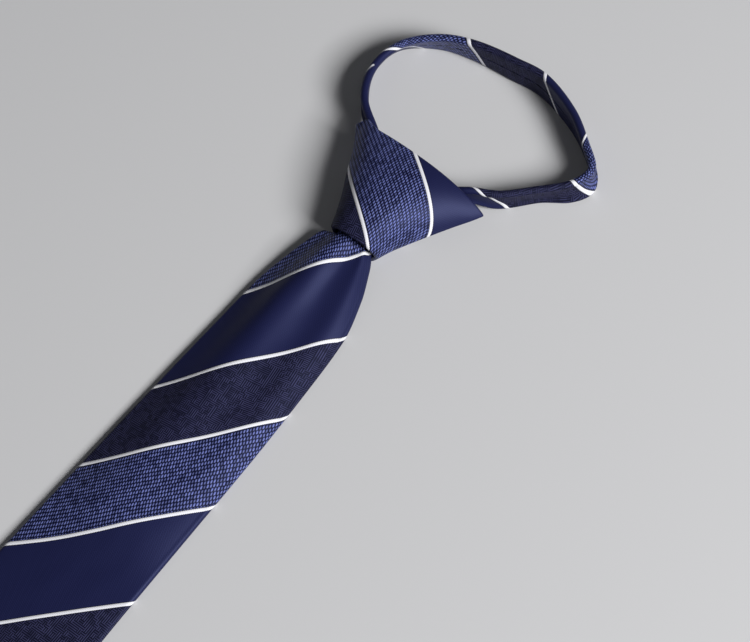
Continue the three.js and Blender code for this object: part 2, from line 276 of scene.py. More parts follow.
SATIN_BLUE = (0.015, 0.018, 0.072)
SATIN_SHADE = (0.006, 0.007, 0.032)
# The bright basket blue below is partly the threads' own colour and partly painted sheen of their shiny
# floats.
BASKET_THREADS_AND_SHEEN = (0.15, 0.18, 0.46)
BASKET_GROUND = (0.0015, 0.002, 0.016)
MAZE_THREADS = (0.034, 0.034, 0.088)
MAZE_GROUND = (0.0015, 0.0015, 0.008)
WHITE_THREAD = (0.78, 0.78, 0.82)
RIM_SHADE = (0.004, 0.004, 0.018)


# %% Threads of the three weaves
def by_chance(sums, one, other):
    """A fixed random number from 0 to 1 for each pair of whole numbers."""
    pair = sums.tree.nodes.new("ShaderNodeCombineXYZ")
    sums.tree.links.new(one, pair.inputs[0])
    sums.tree.links.new(other, pair.inputs[1])
    chance = sums.tree.nodes.new("ShaderNodeTexWhiteNoise")
    chance.noise_dimensions = "2D"
    sums.tree.links.new(pair.outputs[0], chance.inputs["Vector"])
    return chance.outputs["Value"]


def basket_threads(sums, across, along):
    """Rows of short slanting threads. Each row starts at its own place, and some threads are fuller."""
    row = sums.step(across, BASKET_ROW)
    in_row = sums.off_middle(sums.within(across, BASKET_ROW))
    start = sums.times(sums.add(row, by_chance(sums, row, row)), 0.4 * BASKET_THREAD)
    shifted = sums.add(along, sums.add(start, sums.times(in_row, 0.3 * BASKET_ROW)))
    in_thread = sums.off_middle(sums.within(shifted, BASKET_THREAD))
    full = sums.add(0.5, sums.times(by_chance(sums, row, sums.step(shifted, BASKET_THREAD)), 0.5))
    thread = sums.add(0.12, sums.times(sums.hill(in_thread, 0.8), 0.88))
    return sums.times(sums.times(sums.hill(in_row, 1.05), thread), full)


def maze_threads(sums, across, along):
    """Small blocks of two strokes, each block laid one way or the other."""
    one = sums.times(sums.add(across, along), math.sqrt(0.5))
    other = sums.times(sums.minus(across, along), math.sqrt(0.5))
    block_one = sums.step(one, MAZE_CELL)
    block_other = sums.step(other, MAZE_CELL)
    flipped = sums.math("GREATER_THAN", by_chance(sums, block_one, block_other), 0.66)
    turned = sums.math("FLOORED_MODULO", sums.add(sums.add(block_one, block_other), flipped), 2.0)
    side = sums.blend(turned, one, other)
    stroke = sums.off_middle(sums.within(side, MAZE_PITCH))
    full = sums.add(0.55, sums.times(by_chance(sums, block_other, block_one), 0.45))
    return sums.times(sums.hill(stroke, 0.7), full)


def satin_threads(sums, across, along):
    """Fine long threads across the stripe, in brick order."""
    column = sums.step(along, SATIN_THREAD)
    odd = sums.math("FLOORED_MODULO", column, 2.0)
    in_column = sums.off_middle(sums.within(along, SATIN_THREAD))
    length = 4 * SATIN_THREAD
    in_length = sums.off_middle(sums.within(sums.add(across, sums.times(odd, length / 2)), length))
    return sums.times(sums.hill(in_column, 1.0), sums.hill(in_length, 1.15))


def white_cord(sums, across, along):
    """Share of white, share of the dark rim beside it, and height of the white cords."""
    near_zero = sums.math("PINGPONG", across, REPEAT / 2)
    near_maze = sums.math("PINGPONG", sums.minus(across, SATIN_WIDTH), REPEAT / 2)
    near_basket = sums.math("PINGPONG", sums.minus(across, SATIN_WIDTH + MAZE_WIDTH), REPEAT / 2)
    distance = sums.math("MINIMUM", near_zero, sums.math("MINIMUM", near_maze, near_basket))
    teeth = sums.times(sums.math("SINE", sums.times(along, 2 * math.pi / WHITE_PITCH)), WHITE_TEETH)
    edge = sums.add(distance, teeth)
    white = sums.minus(1, sums.ramp(edge, WHITE_HALF, WHITE_HALF + WHITE_BLUR))
    rim = sums.minus(1, sums.ramp(edge, WHITE_HALF + 0.5 * WHITE_RIM, WHITE_HALF + WHITE_RIM))
    twist = sums.off_middle(sums.within(sums.add(along, sums.times(across, 0.7)), WHITE_PITCH))
    strand = sums.add(0.75, sums.times(sums.hill(twist, 1.0), 0.25))
    cord = sums.times(sums.hill(distance, 1.3 * WHITE_HALF), strand)
    return white, rim, cord


# %% Material of the striped cloth
def striped_cloth(name, white_bits=False):
    material = bpy.data.materials.new(name)
    material.use_nodes = True
    tree = material.node_tree
    tree.nodes.clear()
    sums = Sums(tree)
    uv_map = tree.nodes.new("ShaderNodeUVMap")
    uv_map.uv_map = "cloth"
    parts = tree.nodes.new("ShaderNodeSeparateXYZ")
    tree.links.new(uv_map.outputs[0], parts.inputs[0])
    across, along = parts.outputs[0], parts.outputs[1]

    phase = sums.math("FLOORED_MODULO", across, REPEAT)
    is_satin = sums.math("LESS_THAN", phase, SATIN_WIDTH)
    is_basket = sums.math("GREATER_THAN", phase, SATIN_WIDTH + MAZE_WIDTH)
    basket = basket_threads(sums, across, along)
    maze = maze_threads(sums, across, along)
    satin = satin_threads(sums, across, along)
    white, rim, cord = white_cord(sums, across, along)
    if white_bits:
        bits = tree.nodes.new("ShaderNodeAttribute")
        bits.attribute_name = "white_bit"
        white = sums.math("MAXIMUM", white, sums.ramp(bits.outputs["Fac"], 0.45, 0.55))

    # The basket colour holds painted sheen: its bright thread blue stands partly for the sheen of the shiny
    # floats.
    basket_colour_and_sheen = sums.tint(sums.ramp(basket, 0.14, 0.8), BASKET_GROUND, BASKET_THREADS_AND_SHEEN)
    maze_colour = sums.tint(sums.ramp(maze, 0.2, 0.85), MAZE_GROUND, MAZE_THREADS)
    satin_colour = sums.tint(satin, SATIN_SHADE, SATIN_BLUE)
    colour = sums.tint(is_basket, sums.tint(is_satin, maze_colour, satin_colour), basket_colour_and_sheen)
    colour = sums.tint(sums.times(rim, 0.85), colour, RIM_SHADE)
    colour = sums.tint(white, colour, WHITE_THREAD)

    height = sums.blend(is_basket, sums.blend(is_satin, sums.times(maze, 0.10), sums.times(satin, 0.03)),
                        sums.times(basket, 0.2))
    height = sums.blend(rim, height, sums.times(cord, 0.22))
    bump = tree.nodes.new("ShaderNodeBump")
    bump.inputs["Strength"].default_value = 0.9
    bump.inputs["Distance"].default_value = MM
    tree.links.new(height, bump.inputs["Height"])

    rough = sums.blend(is_basket, sums.blend(is_satin, 0.65, 0.48), 0.42)
    shader = tree.nodes.new("ShaderNodeBsdfPrincipled")
    tree.links.new(colour, shader.inputs["Base Color"])
    tree.links.new(sums.blend(white, rough, 0.5), shader.inputs["Roughness"])
    tree.links.new(bump.outputs[0], shader.inputs["Normal"])
    shader.inputs["Specular IOR Level"].default_value = 0.3
    shader.inputs["Specular Tint"].default_value = (0.5, 0.56, 1, 1)
    shader.inputs["Sheen Weight"].default_value = 0.02
    shader.inputs["Sheen Roughness"].default_value = 0.35
    shader.inputs["Sheen Tint"].default_value = (0.45, 0.45, 0.85, 1)
    out = tree.nodes.new("ShaderNodeOutputMaterial")
    tree.links.new(shader.outputs[0], out.inputs["Surface"])
    print("material", name, "has", len(tree.nodes), "nodes")
    return material


cloth = striped_cloth("striped cloth")
cloth_with_bits = striped_cloth("striped cloth with caught threads", white_bits=True)


# %% [markdown]
# ## A band folded to an open seam
# The blade and the neck band are cut as one wide strip on the bias. Both long sides are folded back until
# they almost meet, so the cross-section is a flat letter C with a face, two rolled folds and two flaps.
# The same function draws both, and it also counts how far along the cloth each point is.

# %% Folded band
def folded_band(left, right, thick, gap, seam, base, face, steps):
    """Ring of (across, height, cloth) round a folded band.

    base and face take the place across: 0 in the middle, -1 and 1 where the side folds begin.
    """
    flap_steps, fold_steps, face_steps = steps
    radius = thick + gap / 2
    left_fold = radius - left
    right_fold = right - radius
    outer = []
    inner = []

    def place(x):
        return -x / left_fold if x < 0 else x / right_fold

    def flap(fold_x, side, k):
        lip = side * min(seam / 2, abs(fold_x) / 2)
        x = lip + (fold_x - lip) * k / flap_steps
        cloth_x = fold_x + side * (math.pi * radius + abs(fold_x - x))
        outer.append((x, base(place(x)), cloth_x))
        inner.append((x, base(place(x)) + thick, cloth_x))

    def fold(fold_x, side, k):
        turn = math.pi * k / fold_steps
        middle = base(side) + radius
        cloth_x = fold_x + side * (math.pi - turn) * radius
        for row, r in ((outer, radius), (inner, radius - thick)):
            row.append((fold_x + side * math.sin(turn) * r, middle - math.cos(turn) * r, cloth_x))

    for k in range(flap_steps + 1):
        flap(left_fold, -1, k)
    for k in range(1, fold_steps):
        fold(left_fold, -1, k)
    for k in range(face_steps + 1):
        x = left_fold + (right_fold - left_fold) * k / face_steps
        top = base(place(x)) + 2 * radius + face(place(x))
        outer.append((x, top, x))
        inner.append((x, top - thick, x))
    for k in range(fold_steps - 1, 0, -1):
        fold(right_fold, 1, k)
    for k in range(flap_steps, -1, -1):
        flap(right_fold, 1, k)
    return np.array(outer + inner[::-1])


# %% [markdown]
# ## Blade
# The wide blade comes out of the knot as a bundle of soft folds, spreads within a hand's breadth and lies
# flat from there to its point. Cloth simulation could drop it on the table, but the folds have to lie
# where the knot gathers them, so they are worked into the sections: each fold keeps its share of the
# width and dies away down the blade.

# %% Sizes of the blade
TIE_LENGTH = 480
KNOT_HEIGHT = 42
KNOT_WIDTH = 64
KNOT_THICKNESS = 22
KNOT_CLOTH = 1.6
CLEARANCE = 0.4
BLADE_WIDTH = 70
TIP_LENGTH = 36
BLADE_CLOTH = 1.2
BLADE_FOLD_GAP = 0.6
BLADE_SEAM_GAP = 1.6
BLADE_CROWN = 3.4
PLEAT_DEPTH = 2.3
PLEATS = 1.45
PUCKER_DEPTH = 0.16
PUCKERS = 4.6
PUCKER_REACH = 0.05
ZIP_LENGTH = 135
ZIP_THICKNESS = 2.4
ZIP_RUN_OUT = 30

inner_floor = KNOT_CLOTH + CLEARANCE
blade_in_mouth = inner_floor + ZIP_THICKNESS + CLEARANCE
knot_mouth = -KNOT_HEIGHT / 2
knot_top = KNOT_HEIGHT / 2
blade_length = TIE_LENGTH - KNOT_HEIGHT

blade_rows = table(
    "at left right lift arch crown pleat",
    (-0.052, -0.03, -0.03, 1.5, 0.2, 0.6, 0.2),
    (-0.009, -0.01, -0.01, 1.02, 0.1, 0.85, 0.27),
    (0.001, 0, 0, 1, 0.1, 0.95, 0.35),
    (0.004, 0.17, 0.04, 0.95, 0.15, 0.98, 0.45),
    (0.008, 0.23, 0.08, 0.86, 0.25, 1, 0.65),
    (0.017, 0.28, 0.15, 0.7, 0.5, 1, 0.9),
    (0.039, 0.385, 0.3, 0.42, 1, 1, 1),
    (0.08, 0.508, 0.47, 0.1, 1.3, 0.95, 0.95),
    (0.13, 0.552, 0.526, 0, 1.25, 0.8, 0.7),
    (0.217, 0.605, 0.583, 0, 1.2, 0.6, 0.35),
    (0.312, 0.65, 0.605, 0, 1.2, 0.45, 0.15),
    (0.4, 0.69, 0.625, 0, 1.2, 0.35, 0),
    (0.6, 0.8, 0.775, 0, 1.2, 0.25, 0),
    (0.918, 1, 1, 0, 1.2, 0.12, 0),
    (1, 1, 1, 0, 1.2, 0, 0),
)


# %% Stripes down the blade
# The white lines cross the blade at 45 degrees where it lies flat, and steeper towards the knot, where
# the cloth is gathered. line is where a line crosses the blade's middle, and bend is how it curves.
line_rows = table(
    "line angle bend across along",
    (-520, 45, 0, 334.3, -357.9),
    (-260, 45, 0, 150.4, -174.1),
    (-211.3, 46.6, 0, 116, -139.2),
    (-168.8, 48.2, 0.0052, 85.5, -107.9),
    (-126.9, 51.6, 0.007, 57.5, -75.8),
    (-84.8, 53.3, 0.0063, 30.5, -42.4),
    (-33.1, 56.8, 0.011, 0, 0),
    (20, 58, 0.011, -28.6, 44.7),
)


def blade_uv(x, y):
    """Millimetres across and along the stripes, for cloth at x and y."""
    line = y.copy()
    for _ in range(14):
        slope = np.tan(np.radians(smooth(line_rows, "angle", line)))
        line = y - x * slope - smooth(line_rows, "bend", line) * np.minimum(x * x, BLADE_WIDTH ** 2 / 4)
    slant = np.cos(np.radians(smooth(line_rows, "angle", line)))
    return np.stack([smooth(line_rows, "across", line), x / slant + smooth(line_rows, "along", line)], -1)


# %% Blade
BLADE_STEPS = (8, 8, 56)
TIP_STATIONS = 22


def blade_station(at, left, right):
    """Ring of points and their place on the cloth, for one station of the blade."""
    row = {name: float(smooth(blade_rows, name, at)) for name in ("lift", "arch", "crown", "pleat")}
    past_zip = min(max((at * blade_length - ZIP_LENGTH) / ZIP_RUN_OUT, 0), 1)
    over_zip = 1 - past_zip ** 2 * (3 - 2 * past_zip)
    lift = row["lift"] * blade_in_mouth
    arch = row["arch"] * (ZIP_THICKNESS + CLEARANCE) * over_zip
    crown = row["crown"] * BLADE_CROWN
    pleat = row["pleat"] * PLEAT_DEPTH
    gather = PUCKER_DEPTH * math.exp(-max(at, 0) / PUCKER_REACH)
    y = knot_mouth - at * blade_length

    def face(u):
        folds = pleat * math.cos(math.pi * (PLEATS * u + 0.5))
        puckers = gather * math.cos(math.pi * (PUCKERS * u + 0.4))
        slack = 0.35 * wave(34 * u, y, 3.0, 26) + 0.15 * wave(34 * u, y, 8.0, 11)
        return (1 - u * u) * (crown + folds + puckers + slack)

    ring = folded_band(
        left, right, BLADE_CLOTH, BLADE_FOLD_GAP, BLADE_SEAM_GAP,
        lambda u: lift + arch * (1 - u * u), face, BLADE_STEPS,
    )
    points = np.stack([ring[:, 0], np.full(len(ring), y), ring[:, 1]], -1)
    return points, ring[:, 2]


def make_blade():
    mouth_half = KNOT_WIDTH * 0.175 - 1.5 * KNOT_CLOTH - CLEARANCE
    blunt = 1.3 * (BLADE_CLOTH + BLADE_FOLD_GAP / 2)
    widest = BLADE_WIDTH / 2
    shoulder = 1 - TIP_LENGTH / blade_length
    places = np.concatenate([
        np.linspace(-0.052, 0.4, 120), np.linspace(0.4, shoulder, 62)[1:],
        1 - TIP_LENGTH / blade_length * (1 - np.linspace(0, 1, TIP_STATIONS)[1:] * (1 - blunt / widest)),
    ])
    rings = []
    cloth_x = []
    for at in places:
        left, right = (
            float(mouth_half + smooth(blade_rows, side, at) * (widest - mouth_half))
            for side in ("left", "right")
        )
        if at > shoulder:
            left = right = widest * (1 - at) * blade_length / TIP_LENGTH
        points, across = blade_station(at, float(left), float(right))
        rings.append(points)
        cloth_x.append(across)
    rings = np.array(rings)
    cloth_x = np.array(cloth_x)
    cloth_uv = blade_uv(cloth_x, rings[:, :, 1])
    cloth_uv = np.concatenate([cloth_uv, cloth_uv[:, :1]], 1)
    return skin("blade", rings, cloth_uv, cloth)


blade = make_blade()

# %% [markdown]
# ## Knot
# The knot is a cuff: cloth wrapped once round the other pieces, wide at its two top corners and narrow at
# its mouth. It is hollow, with the neck band going in at the top and the blade coming out at the mouth.
# Rings of one family of curves make it, flat behind and full in front, and the cloth turns over at both
# rims.

# %% Knot
KNOT_SLANT = 0.05
KNOT_LIP = 2
KNOT_EAR = 2.6
KNOT_EAR_X = -27.3
KNOT_EAR_HALVES = (1.2, 4.5)
KNOT_BACK_CURL = 1.4
KNOT_STEPS = 80
ROLL_STEPS = 8
KNOT_LINE_ANGLE = math.radians(37.5)
KNOT_LINES_APART = 27.3
KNOT_LINE_SHIFT = 12.8

knot_rows = table(
    "up left right side front round fold",
    (0, 0.175, 0.172, 0.31, 0.72, 0.42, 0.5),
    (0.14, 0.206, 0.213, 0.34, 0.84, 0.44, 0.56),
    (0.32, 0.254, 0.278, 0.37, 0.95, 0.46, 0.64),
    (0.52, 0.32, 0.352, 0.4, 1, 0.48, 0.7),
    (0.72, 0.378, 0.425, 0.42, 0.99, 0.48, 0.74),
    (0.88, 0.434, 0.484, 0.43, 0.95, 0.46, 0.76),
    (1, 0.488, 0.52, 0.43, 0.9, 0.44, 0.78),
)


def knot_ring(up, inset):
    """Ring of points round the knot. The inset is 0 on its outside and KNOT_CLOTH on its inside."""
    row = {name: float(smooth(knot_rows, name, up)) for name in knot_rows}
    left = -row["left"] * KNOT_WIDTH + 1.25 * inset
    right = row["right"] * KNOT_WIDTH - 1.25 * inset
    side = row["side"] * KNOT_THICKNESS
    front = row["front"] * KNOT_THICKNESS - inset
    middle = (left + right) / 2
    half = (right - left) / 2
    lip = KNOT_LIP * (1 - up) ** 3
    ear = KNOT_EAR * up ** 8
    ring = []
    for k in range(2 * KNOT_STEPS):
        u = math.cos(math.pi * k / KNOT_STEPS)
        size = min(abs(u), 1)
        x = middle + half * u
        if k < KNOT_STEPS:
            swell = (1 - size ** 2.2) ** (row["round"] if u < 0 else row["fold"])
            z = side + (front - side) * swell
            off_ear = x - KNOT_EAR_X
            peak = ear * math.exp(-(off_ear / KNOT_EAR_HALVES[off_ear >= 0]) ** 2)
            fall = KNOT_SLANT * up * (x - left) + lip * swell - peak
        else:
            flat = 0.78 if u < 0 else 0.6
            swell = 1 - (max(size - flat, 0) / (1 - flat)) ** KNOT_BACK_CURL
            z = side - (side - inset) * swell
            fall = KNOT_SLANT * up * (x - left)
        ring.append((x, knot_mouth + KNOT_HEIGHT * up - fall, z))
    return np.array(ring)


def knot_cloth_x(ring):
    """Distance round the ring from the middle of its front, positive to the right."""
    steps = np.linalg.norm(np.diff(ring[:, [0, 2]], axis=0, append=ring[:1, [0, 2]]), axis=1)
    walked = np.concatenate([[0], np.cumsum(steps)])
    front_x = ring[:KNOT_STEPS, 0][::-1]
    start = np.interp(0, front_x, walked[:KNOT_STEPS][::-1])
    quarter = KNOT_STEPS + KNOT_STEPS // 2
    cloth_x = start - walked
    cloth_x[quarter:] = start + walked[-1] - walked[quarter:]
    return cloth_x, quarter


def make_knot():
    edge = 0.5 * KNOT_CLOTH / KNOT_HEIGHT
    ups = [(edge + (1 - 2 * edge) * k / 52, 0) for k in range(53)]
    turns = [math.pi * k / ROLL_STEPS for k in range(1, ROLL_STEPS)]
    top = [(1 - edge + edge * math.sin(a), KNOT_CLOTH * (1 - math.cos(a)) / 2) for a in turns]
    inside = [(up, KNOT_CLOTH) for up, _ in ups[::-2]]
    mouth = [(edge - edge * math.sin(a), KNOT_CLOTH * (1 + math.cos(a)) / 2) for a in turns]
    rings = np.array([knot_ring(up, inset) for up, inset in ups + top + inside + mouth])
    slope = KNOT_LINE_ANGLE
    cloth_uv = []
    for ring in rings:
        cloth_x, quarter = knot_cloth_x(ring)
        y = np.append(ring[:, 1], ring[0, 1])
        from_line = math.sin(slope) * cloth_x + math.cos(slope) * y + KNOT_LINE_SHIFT
        across = SATIN_WIDTH + MAZE_WIDTH + from_line * BASKET_WIDTH / KNOT_LINES_APART
        along = math.cos(slope) * cloth_x - math.sin(slope) * y
        cloth_uv.append(np.stack([across, along], -1))
    return skin("knot", rings, np.array(cloth_uv), cloth_with_bits, joined=True)


knot = make_knot()

# %% [markdown]
# ## Ends of white line
# Where a white line runs out over an edge, only a short end of it shows: a tick on the knot's left
# corner, a tick on the rim of the neck band and a dot beside the knot's right corner. Each vertex gets
# its distance from these short lines, and the material turns the nearest ones white.

# %% Ends of white line
WHITE_BIT_REACH = 4


def mark_white(piece, *lines):
    """Add the attribute white_bit: 0.5 on the edge of each line, and more inside it.

    A line is (start, end, radius), in millimetres.
    """
    points = np.empty(3 * len(piece.data.vertices))
    piece.data.vertices.foreach_get("co", points)
    points = points.reshape(-1, 3) / MM
    value = np.zeros(len(points))
    for start, end, radius in lines:
        start = np.array(start)
        along = np.array(end) - start
        part = np.clip((points - start) @ along / (along @ along), 0, 1)
        distance = np.linalg.norm(points - start - np.outer(part, along), axis=1)
        value = np.maximum(value, 0.5 + (radius - distance) / WHITE_BIT_REACH)
    attribute = piece.data.attributes.new("white_bit", "FLOAT", "POINT")
    attribute.data.foreach_set("value", np.clip(value, 0, 1))
    print(piece.name, "has", int((value > 0.5).sum()), "white points")


mark_white(knot, ((-30.6, 20.4, 10.5), (-30.5, 17.8, 9.2), 0.5))

# %% [markdown]
# ## Neck band
# The band that goes round the neck is a narrow folded strip that stands on its long edge. It turns flat
# only inside the knot. Its middle line is a smooth curve through measured places, and at each station the
# folded section leans as much as the real band does, with its lower rim on the table.

# %% Path of the neck band
LOOP_WIDTH = 98.5
LOOP_DEPTH = 61
BAND_WIDTH = 14
BAND_CLOTH = 1.1
BAND_FOLD_GAP = 1
BAND_SEAM_GAP = 0.5
BAND_DIP = 1
BAND_RUMPLE = 0.28
BAND_STATIONS = 300
BAND_STEPS = (5, 10, 16)

end_rows = [
    (0.2, -0.14, -90, 0.62, 1),
    (0.28, 0.34, -85, 0.62, 1.05),
    (0.48, 0.72, -55, 0.62, 1.6),
    (0.7, 1.03, -3, 0.66, 2.1),
]
loop_rows = [
    (-0.351, 0.17, 2, 0.93, 0.5),
    (-0.434, 0.425, -17, 1, 0),
    (-0.418, 0.683, -28, 1, 0),
    (-0.298, 0.866, -18, 1, 0),
    (-0.162, 0.947, -7, 1, 0),
    (0.023, 0.985, 1, 1, 0),
    (0.156, 0.998, 2, 1, 0),
    (0.349, 0.893, -4, 1, 0),
    (0.476, 0.758, -11, 0.97, 0),
    (0.556, 0.638, -8, 0.94, 0),
    (0.566, 0.565, -12, 0.92, 0),
    (0.536, 0.452, -4, 0.94, 0),
    (0.441, 0.307, 10, 0.94, 0),
    (0.333, 0.12, 4, 0.85, 0.5),
]


def band_table():
    """Places of the band, with its lean in degrees, its width and the height of its lower rim."""
    left = [(-across * KNOT_WIDTH / 2, up * knot_top, *rest) for across, up, *rest in end_rows]
    right = [(-x, y, *rest) for x, y, *rest in left]
    outside = [
        (across * LOOP_WIDTH, knot_top + beyond * LOOP_DEPTH, *rest)
        for across, beyond, *rest in loop_rows
    ]
    rows = [(k, *row) for k, row in enumerate(left + outside + right[::-1])]
    return table("index x y lean width lift", *rows)


def centripetal(points, place):
    """Point and direction at a place on a smooth curve through the points."""
    ends = np.vstack([2 * points[0] - points[1], points, 2 * points[-1] - points[-2]])
    i = min(int(place), len(points) - 2)
    t = place - i
    p0, p1, p2, p3 = ends[i:i + 4]
    a, b, c = (math.sqrt(math.dist(p, q)) for p, q in ((p0, p1), (p1, p2), (p2, p3)))
    leave = ((p1 - p0) / a - (p2 - p0) / (a + b) + (p2 - p1) / b) * b
    arrive = ((p2 - p1) / b - (p3 - p1) / (b + c) + (p3 - p2) / c) * b
    cubic = 2 * p1 - 2 * p2 + leave + arrive
    square = 3 * p2 - 3 * p1 - 2 * leave - arrive
    point = cubic * t ** 3 + square * t ** 2 + leave * t + p1
    along = 3 * cubic * t ** 2 + 2 * square * t + leave
    return point, along / np.linalg.norm(along)


band_rows = band_table()
band_points = np.stack([band_rows["x"], band_rows["y"]], -1)
fine = np.linspace(0, len(band_points) - 1, 2001)
fine_points = np.array([centripetal(band_points, place)[0] for place in fine])
fine_arc = np.concatenate([[0], np.cumsum(np.linalg.norm(np.diff(fine_points, axis=0), axis=1))])
print("neck band, millimetres of length:", round(fine_arc[-1], 1))


# %% Stripes on the neck band
# The white lines cross the upper rim at these distances along the band. slant is how far a line moves
# along the band for each millimetre down its inner face.
rim_rows = table(
    "arc across slant",
    (0, 114, 1),
    (74.5, 85.5, 1.7),
    (108.5, 57.5, 0.5),
    (142.8, 30.5, 0.69),
    (175.8, 0, 1.06),
    (200, -28, 0.4),
    (237.5, -55, 1.3),
    (272, -79, 1.36),
)


def band_uv(arc, below_rim):
    """Millimetres across and along the stripes. below_rim is positive on the loop's inner face."""
    at_rim = arc - np.interp(arc, rim_rows["arc"], rim_rows["slant"]) * below_rim
    across = np.interp(at_rim, rim_rows["arc"], rim_rows["across"])
    return np.stack([across, 0.95 * arc + 0.6 * below_rim], -1)


# %% Neck band
def make_band():
    thickness = 2 * BAND_CLOTH + BAND_FOLD_GAP
    rings = []
    uvs = []
    for arc in np.linspace(0, fine_arc[-1], BAND_STATIONS):
        place = float(np.interp(arc, fine_arc, fine))
        middle, along = centripetal(band_points, place)
        lean = math.radians(float(smooth(band_rows, "lean", place)))
        half = float(smooth(band_rows, "width", place)) * BAND_WIDTH / 2
        lift = float(smooth(band_rows, "lift", place)) * inner_floor
        inward = np.array([along[1], -along[0], 0])
        up = np.array([0, 0, 1])
        across = math.cos(lean) * up - math.sin(lean) * inward
        toward_face = -math.sin(lean) * up - math.cos(lean) * inward
        rumple = BAND_RUMPLE * wave(arc, 0, 5.0, 14)
        ring = folded_band(
            half, half, BAND_CLOTH, BAND_FOLD_GAP, BAND_SEAM_GAP,
            lambda u: 0, lambda u: (rumple * u - BAND_DIP) * (1 - u ** 4), BAND_STEPS,
        )
        points = np.array([middle[0], middle[1], 0]) + np.outer(ring[:, 0], across)
        points += np.outer(ring[:, 1] - thickness / 2, toward_face)
        points[:, 2] += lift - points[:, 2].min()
        rings.append(points)
        radius = BAND_CLOTH + BAND_FOLD_GAP / 2
        rim = half - radius + math.pi / 2 * radius
        lower_flap = half - ring[:, 0] + (math.pi / 2 - 1) * radius
        below_rim = np.where((ring[:, 1] < thickness / 2) & (ring[:, 0] < 0), lower_flap, ring[:, 2] - rim)
        uvs.append(band_uv(np.full(len(ring), arc), below_rim))
    cloth_uv = np.array(uvs)
    cloth_uv = np.concatenate([cloth_uv, cloth_uv[:, :1]], 1)
    return skin("neck_band", np.array(rings), cloth_uv, cloth_with_bits)


neck_band = make_band()
mark_white(
    neck_band,
    ((-41.8, 41.5, 13), (-41, 45.5, 13.4), 0.5),
    ((29.6, 23.2, 2.7), (29.6, 23.2, 1.8), 1.4),
)

# %% [markdown]
# ## Zip
# The closed zip comes out of the knot's mouth behind the blade, and holds the loop at its size. It is two
# narrow tapes that meet edge to edge, with teeth that grip each other from both sides. The teeth all have
# one shape and follow the zip's own path, so Geometry Nodes set them. The tapes are one plain skin.

# %% Tapes of the zip
ZIP_WIDTH = 13
ZIP_TAPE = 1.0
ZIP_TAPE_HEIGHT = 0.6
ZIP_TAPE_EDGE = 0.35
ZIP_GROOVE = 0.3
ZIP_GROOVE_HALF = 0.4
ZIP_STATIONS = 90
ZIP_STEPS = 25
ZIP_RIB = 0.9
ZIP_SHADE = (0.003, 0.004, 0.014)
ZIP_BLUE = (0.011, 0.012, 0.04)
zip_top = end_rows[0][1] * knot_top - CLEARANCE
zip_end = knot_mouth - ZIP_LENGTH
zip_rows = table(
    "at lift width",
    (-0.14, 1, 0.8),
    (0, 1, 0.8),
    (0.05, 0.72, 0.96),
    (0.13, 0.12, 1),
    (0.2, 0, 1),
    (0.96, 0, 1),
    (0.985, 0, 0.94),
    (1, 0, 0.7),
)


def zip_floor(y):
    """Height of the zip's underside."""
    return inner_floor * smooth(zip_rows, "lift", (knot_mouth - y) / ZIP_LENGTH)


def zip_cloth_material():
    """Woven tape with fine ribs that meet in the middle like an arrow."""
    material = bpy.data.materials.new("zip tape")
    material.use_nodes = True
    tree = material.node_tree
    shader = tree.nodes["Principled BSDF"]
    sums = Sums(tree)
    uv_map = tree.nodes.new("ShaderNodeUVMap")
    uv_map.uv_map = "cloth"
    parts = tree.nodes.new("ShaderNodeSeparateXYZ")
    tree.links.new(uv_map.outputs[0], parts.inputs[0])
    slanted = sums.add(parts.outputs[1], sums.math("ABSOLUTE", parts.outputs[0]))
    rib = sums.hill(sums.off_middle(sums.within(slanted, ZIP_RIB)), 1.0)
    tree.links.new(sums.tint(rib, ZIP_SHADE, ZIP_BLUE), shader.inputs["Base Color"])
    bump = tree.nodes.new("ShaderNodeBump")
    bump.inputs["Distance"].default_value = MM
    tree.links.new(sums.times(rib, 0.12), bump.inputs["Height"])
    tree.links.new(bump.outputs[0], shader.inputs["Normal"])
    shader.inputs["Roughness"].default_value = 0.7
    shader.inputs["Specular IOR Level"].default_value = 0.3
    return material


def make_tapes():
    rings = []
    for y in np.linspace(zip_top, zip_end, ZIP_STATIONS):
        half = ZIP_WIDTH / 2 * smooth(zip_rows, "width", (knot_mouth - y) / ZIP_LENGTH)
        x = half * np.sin(np.linspace(-math.pi / 2, math.pi / 2, ZIP_STEPS))
        thinner = ZIP_TAPE_EDGE * (x / half) ** 12 + ZIP_GROOVE * np.exp(-((x / ZIP_GROOVE_HALF) ** 2))
        low = zip_floor(y) + ZIP_TAPE_HEIGHT + thinner
        high = zip_floor(y) + ZIP_TAPE_HEIGHT + ZIP_TAPE - thinner
        under = np.stack([x, np.full(ZIP_STEPS, y), low], -1)
        over = np.stack([x, np.full(ZIP_STEPS, y), high], -1)
        rings.append(np.concatenate([under, over[::-1]]))
    rings = np.array(rings)
    cloth_uv = np.concatenate([rings[:, :, :2], rings[:, :1, :2]], 1)
    return skin("zip_tapes", rings, cloth_uv, zip_cloth_material())


zip_tapes = make_tapes()

# %% [markdown]
# ## Repeating a part along a path
# Teeth and stitches are the same part many times, so each is drawn once and set along a line. The tree
# below makes the line a curve, puts a point on it at every pitch, turns the part to follow the curve, and
# turns each second one over about the curve. The result is made real faces, because only those are handed
# on.

